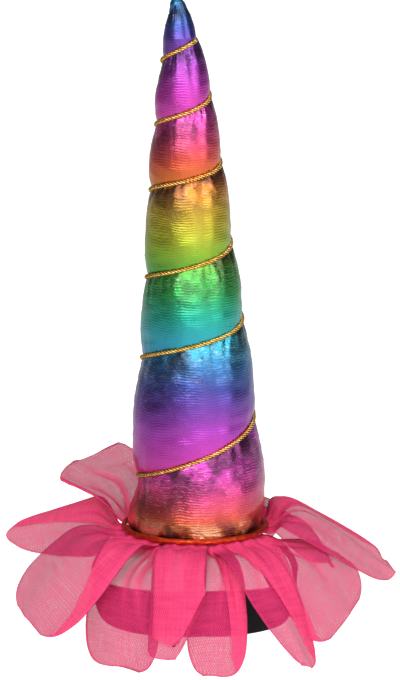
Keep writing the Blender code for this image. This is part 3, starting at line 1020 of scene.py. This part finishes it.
def column_places(side, fold, free, broad):
    """For each column its place across, how many millimetres it is raised and if it is folded."""
    for column in range(MAIN_STEPS + 1):
        yield side * (2.0 * column / MAIN_STEPS - 1.0), 0.0, 0.0
    for column in range(1, FOLD_STEPS + 1):
        back = column / FOLD_STEPS
        raised = (0.55 * min(1.0, 6.0 * back) + 0.5 * free * fold * back) * broad
        yield side * (1.0 - fold * back), raised, 1.0


def pleat_depth(along, across, seed):
    """Pleats that run out of the gathered root and end before the tip, in millimetres."""
    pleat = math.sin(across * 9.0 + seed) + 0.6 * math.sin(across * 17.0 + 2.0 * seed)
    return pleat * (smooth_step(0.20, 0.40, along) * (1.0 - smooth_step(0.40, 0.85, along)) * 0.8)


def wave_depth(along, across, broad, ruffle, waves, seed):
    """The waves and the slow drift of a petal's free end, in millimetres."""
    wave = math.sin(2.0 * math.pi * waves * along + 2.2 * across * broad + seed * 1.7)
    drift = noise.noise(Vector((along * 3.2, across * 1.6 * broad, seed)))
    return ruffle * wave * (0.35 + 0.65 * abs(across) * broad) + 2.2 * drift


def build_petal(petal, material, seed):
    """A petal of sheer cloth. Its folded side lies back on top of it, and its free end waves."""
    side, *folds, slant, ruffle, waves = PETAL_FOLDS[petal.node]
    cloth_length = 0.07
    tip_reach = 0.09
    vertices = []
    uvs = []
    edges = []
    drawn = []
    flap = []
    for step in range(ALONG_STEPS + 1):
        level = row_place(step)
        free = smooth_step(0.36, 1.0, level)
        fold = smooth_read(folds, 2.0 * level)
        fold = max(fold * (1.0 - smooth_step(0.9, 1.0, level)), 0.004)
        half = petal.half_width(level)
        broad = min(half / (9.0 * MM), 1.0)
        nibble = 0.035 * free * noise.noise(Vector((level * 16.0, seed, 7.0)))
        for across, raised, folded in column_places(side, fold, free, broad):
            along = level * (1.0 - free * max(slant * across, 0.0))
            place = petal.read(along, across * (1.0 + nibble))
            crease = crease_strength(along, across, seed)
            sunk = pleat_depth(along, across, seed)
            sunk += free * wave_depth(along, across, broad, ruffle, waves, seed)
            sunk += 1.3 * crease * broad * smooth_step(0.30, 0.45, along)
            vertices.append(place + petal.normal(along, across) * (raised - sunk) * MM)
            uvs.append((across * half, along * cloth_length))
            edges.append(min((1.0 - abs(across)) * half, (1.0 - level) * tip_reach))
            drawn.append(crease)
            flap.append(folded)
    faces = grid_faces(ALONG_STEPS + 1, MAIN_STEPS + 1 + FOLD_STEPS)
    name = petal.node.replace("petal", "chiffon_petal")
    piece = mesh_piece(name, vertices, faces, material, uvs)
    store(piece, "edge", edges)
    store(piece, "drawn", drawn)
    store(piece, "flap", flap)
    builder = bmesh.new()
    builder.from_mesh(piece.data)
    bmesh.ops.remove_doubles(builder, verts=builder.verts, dist=0.01 * MM)
    builder.to_mesh(piece.data)
    builder.free()
    add_wall(piece, CHIFFON_THICKNESS)
    return piece


def dress_petals(material):
    for seed, row in enumerate(PETALS):
        petal = Petal(row)
        piece = build_petal(petal, material, seed * 1.37)
        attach(piece, BODY)
        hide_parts(petal.node)
        width, length, area = cut_size(petal)


# The studio

# Brightness of the studio round the object, from the back over the left, the front and the right
HORIZON = (
    # share of the round, brightness
    (0.00, 0.40),
    (0.20, 0.22),
    (0.37, 0.24),
    (0.45, 0.35),
    (0.48, 0.85),
    (0.52, 0.85),
    (0.56, 0.30),
    (0.60, 0.35),
    (0.63, 1.25),
    (0.67, 1.25),
    (0.71, 0.35),
    (0.80, 0.35),
    (1.00, 0.40),
)
SOFT_BOXES = (
    # share of the round, brightness
    (0.00, 0.15),
    (0.30, 0.12),
    (0.34, 0.40),
    (0.43, 0.50),
    (0.46, 3.20),
    (0.53, 3.20),
    (0.56, 0.30),
    (0.61, 0.40),
    (0.63, 3.00),
    (0.68, 3.00),
    (0.71, 0.12),
    (0.85, 0.10),
    (1.00, 0.15),
)
TABLE = (
    # share of the round, brightness
    (0.00, 0.60),
    (0.20, 0.60),
    (0.38, 0.80),
    (0.52, 1.15),
    (0.66, 1.30),
    (0.80, 1.00),
    (1.00, 0.60),
)
CEILING = 0.35
PANELS = (
    # name, place, size, power
    ("key", (-0.9, -1.6, 0.9), 0.9, 6.5),
    ("fill", (0.8, -1.7, 0.3), 0.9, 3.0),
    ("top", (0.0, 0.2, 1.6), 1.0, 2.0),
)


def build_floor():
    """A plain pale floor, well below the headband and lit evenly."""
    height = -0.30
    reach = 6.0
    paper = new_material(
        "pale floor paper",
        Base_Color=(0.93, 0.93, 0.93, 1.0),
        Roughness=1.0,
        Specular_IOR_Level=0.0,
        Emission_Color=(1.0, 1.0, 1.0, 1.0),
        Emission_Strength=0.62,
    )[0]
    corners = [(-reach, -reach), (reach, -reach), (reach, reach), (-reach, reach)]
    floor = mesh_piece("floor", [(x, y, height) for x, y in corners], [(0, 1, 2, 3)], paper)
    floor.visible_glossy = False


def build_surroundings():
    """Soft light from all round: bright boxes above the horizon and a pale table below it."""
    world = bpy.data.worlds.new("studio")
    bpy.context.scene.world = world
    world.use_nodes = True
    nodes = Nodes(world.node_tree)
    background = world.node_tree.nodes["Background"]
    direction = nodes.add("ShaderNodeTexCoord").outputs["Generated"]
    parts = nodes.parts(direction)
    bearing = nodes.maths("ARCTAN2", parts["X"], nodes.maths("MULTIPLY", parts["Y"], -1.0))
    round_share = nodes.spread(bearing, -math.pi, math.pi, 0.0, 1.0)
    level, above, below = (
        nodes.ramp(round_share, grey_stops(rows)) for rows in (HORIZON, SOFT_BOXES, TABLE)
    )
    rise = parts["Z"]
    light = nodes.mix(nodes.spread(rise, 0.02, 0.12, 0.0, 1.0), level, above)
    overhead = nodes.spread(rise, 0.62, 0.80, 0.0, 1.0)
    light = nodes.mix(overhead, light, (CEILING, CEILING, CEILING, 1.0))
    light = nodes.mix(nodes.spread(rise, -0.05, -0.22, 0.0, 1.0), light, below)
    seen = nodes.add("ShaderNodeLightPath").outputs["Is Camera Ray"]
    nodes.feed(nodes.mix(seen, light, (0.5, 0.5, 0.5, 1.0)), background.inputs["Color"])
    background.inputs["Strength"].default_value = 2.0


def grey_stops(rows):
    """Grey colour stops, halved because the surroundings' strength doubles them again."""
    return [(place, (value / 2,) * 3) for place, value in rows]


def add_panel(name, place, size, power):
    data = bpy.data.lights.new(name, "AREA")
    data.energy = power
    data.size = size
    panel = put_in_scene(name, data)
    panel.location = place
    towards = Vector((0.0, 0.0, 0.1)) - panel.location
    panel.rotation_euler = towards.to_track_quat("-Z", "Y").to_euler()


def build_camera():
    """A long lens at the photograph's angle, 12 degrees above the headband's front."""
    frame_height = 0.340
    distance = 2.4
    elevation = math.radians(12.0)
    target = Vector((2.5 * MM, 0.0, 104.3 * MM))
    data = bpy.data.cameras.new("camera")
    data.sensor_width = 36.0
    data.lens = data.sensor_width * distance / frame_height
    camera = put_in_scene("camera", data)
    towards = Vector((0.0, -math.cos(elevation), math.sin(elevation)))
    camera.location = target + towards * distance
    camera.rotation_euler = towards.to_track_quat("Z", "Y").to_euler()
    bpy.context.scene.camera = camera
    bpy.context.scene.view_settings.view_transform = "Standard"


def main():
    build_camera()
    build_floor()
    build_surroundings()
    for panel in PANELS:
        add_panel(*panel)

    skin = build_horn_skin(make_lame())
    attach(skin, BODY)
    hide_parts("horn")

    hem = build_hem(make_hem_foil())
    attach(hem, BODY)
    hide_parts("hem_roll")

    cord = build_cord(make_gold_thread())
    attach(cord, BODY)
    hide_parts("spiral_cord")

    elastic = build_elastic(make_elastic())
    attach(elastic, BODY)
    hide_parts("headband")

    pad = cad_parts["base_pad"]
    pad.material_slots[0].material = make_felt()

    dress_petals(make_chiffon())


main()
